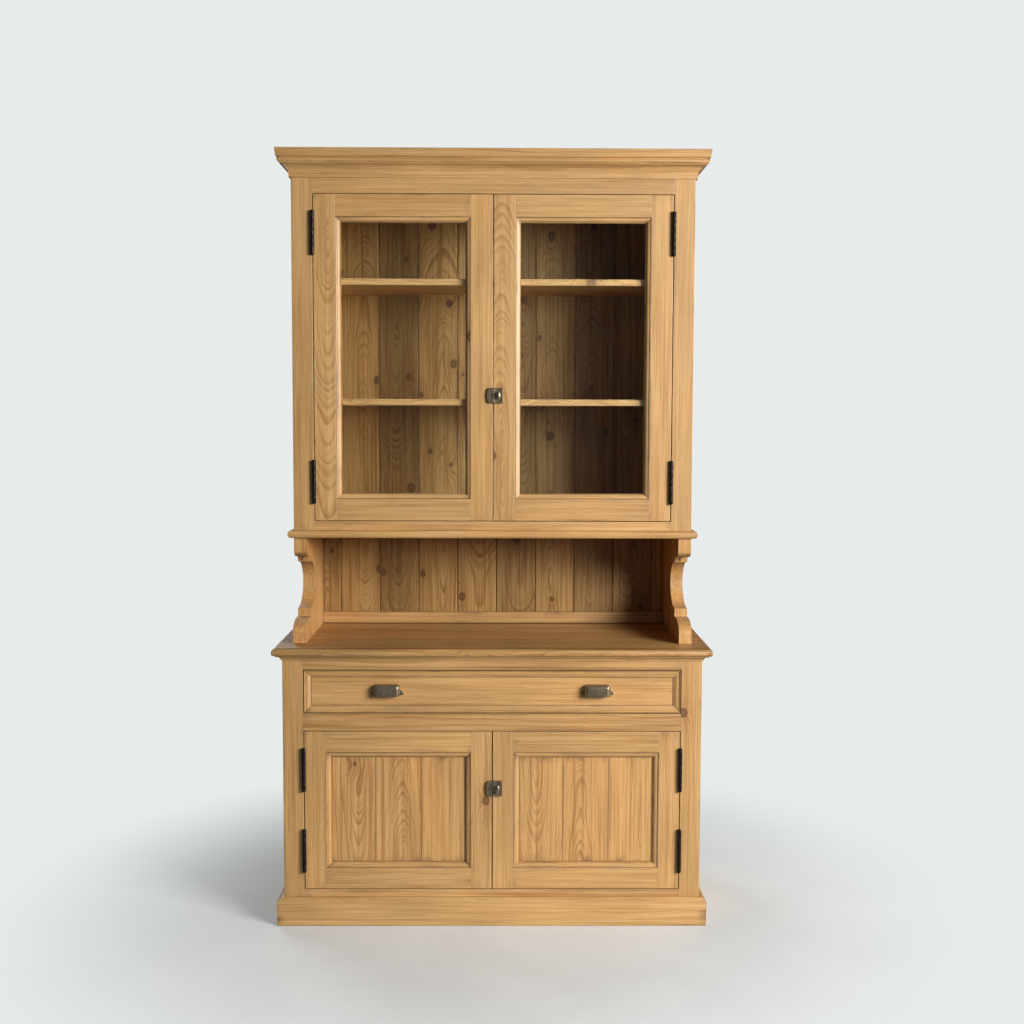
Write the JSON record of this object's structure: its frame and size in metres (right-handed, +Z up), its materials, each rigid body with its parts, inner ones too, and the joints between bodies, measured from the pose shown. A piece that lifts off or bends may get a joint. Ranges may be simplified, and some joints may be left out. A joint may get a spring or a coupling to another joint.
{
  "type": "pantry cabinet",
  "caption": "Tall pine pantry cabinet: glazed hutch with shelves on scrolled sides over a cupboard with panelled doors and a wide drawer.",
  "frame": {"origin": "on the floor, under the middle of the cabinet's box", "axes": "+Z up, the doors and the drawer face -Y, +X to the right of someone facing the doors"},
  "size_m": [1.216, 0.475, 2.155],
  "materials": {
    "pine": "waxed",
    "pine_back": "waxed, darker",
    "pine_inside": "raw",
    "glass": "clear",
    "iron": "black",
    "bronze": "antique, darkened"
  },
  "bodies": {
    "root": {"base_side_left": "pine", "base_side_right": "pine", "base_bottom": "pine_inside", "base_back": "pine_inside", "base_face_frame": "pine", "plinth": "pine", "worktop": "pine", "worktop_moulding": "pine", "drawer_runner_left": "pine_inside", "drawer_runner_right": "pine_inside", "hutch_side_left": "pine", "hutch_side_right": "pine", "hutch_bottom": "pine", "hutch_top": "pine_inside", "hutch_ledge": "pine", "hutch_face_frame": "pine", "hutch_back_boards": "pine_back", "back_skirting": "pine", "shelf_upper": "pine_back", "shelf_lower": "pine_back", "cornice": "pine", "upper_left_bottom_hinge_frame_leaf": "iron", "upper_left_top_hinge_frame_leaf": "iron", "upper_right_bottom_hinge_frame_leaf": "iron", "upper_right_top_hinge_frame_leaf": "iron", "lower_left_bottom_hinge_frame_leaf": "iron", "lower_left_top_hinge_frame_leaf": "iron", "lower_right_bottom_hinge_frame_leaf": "iron", "lower_right_top_hinge_frame_leaf": "iron"},
    "drawer": {"drawer_front": "pine", "drawer_side_left": "pine_inside", "drawer_side_right": "pine_inside", "drawer_back": "pine_inside", "drawer_bottom": "pine_inside", "drawer_pull_left": "bronze", "drawer_pull_right": "bronze"},
    "upper_left_door": {"upper_left_door_frame": "pine", "upper_left_glass": "glass", "upper_left_bottom_hinge_door_leaf": "iron", "upper_left_top_hinge_door_leaf": "iron", "upper_latch_keeper": "bronze"},
    "upper_right_door": {"upper_right_door_frame": "pine", "upper_right_glass": "glass", "upper_right_bottom_hinge_door_leaf": "iron", "upper_right_top_hinge_door_leaf": "iron", "upper_latch_case": "bronze"},
    "upper_latch_knob": {"upper_latch_knob": "bronze", "upper_latch_tongue": "bronze"},
    "lower_left_door": {"lower_left_door_frame": "pine", "lower_left_panel": "pine", "lower_left_bottom_hinge_door_leaf": "iron", "lower_left_top_hinge_door_leaf": "iron", "lower_latch_keeper": "bronze"},
    "lower_right_door": {"lower_right_door_frame": "pine", "lower_right_panel": "pine", "lower_right_bottom_hinge_door_leaf": "iron", "lower_right_top_hinge_door_leaf": "iron", "lower_latch_case": "bronze"},
    "lower_latch_knob": {"lower_latch_knob": "bronze", "lower_latch_tongue": "bronze"}
  },
  "joints": [
    {"name": "drawer_slide", "type": "slide", "parent": "root", "child": "drawer", "axis": [0, -1, 0], "range_m": [0, 0.32]},
    {"name": "upper_left_door_swing", "type": "hinge", "parent": "root", "child": "upper_left_door", "pos_m": [-0.5018, -0.1224, 0], "axis": [0, 0, -1], "range_deg": [0, 165]},
    {"name": "upper_right_door_swing", "type": "hinge", "parent": "root", "child": "upper_right_door", "pos_m": [0.5018, -0.1224, 0], "axis": [0, 0, 1], "range_deg": [0, 165]},
    {"name": "lower_left_door_swing", "type": "hinge", "parent": "root", "child": "lower_left_door", "pos_m": [-0.5238, -0.2174, 0], "axis": [0, 0, -1], "range_deg": [0, 165]},
    {"name": "lower_right_door_swing", "type": "hinge", "parent": "root", "child": "lower_right_door", "pos_m": [0.5238, -0.2174, 0], "axis": [0, 0, 1], "range_deg": [0, 165]},
    {"name": "upper_latch_turn", "type": "hinge", "parent": "upper_right_door", "child": "upper_latch_knob", "pos_m": [0.0155, -0.1248, 1.481], "axis": [0, -1, 0], "range_deg": [0, 90]},
    {"name": "lower_latch_turn", "type": "hinge", "parent": "lower_right_door", "child": "lower_latch_knob", "pos_m": [0.0155, -0.2198, 0.389], "axis": [0, -1, 0], "range_deg": [0, 90]}
  ]
}
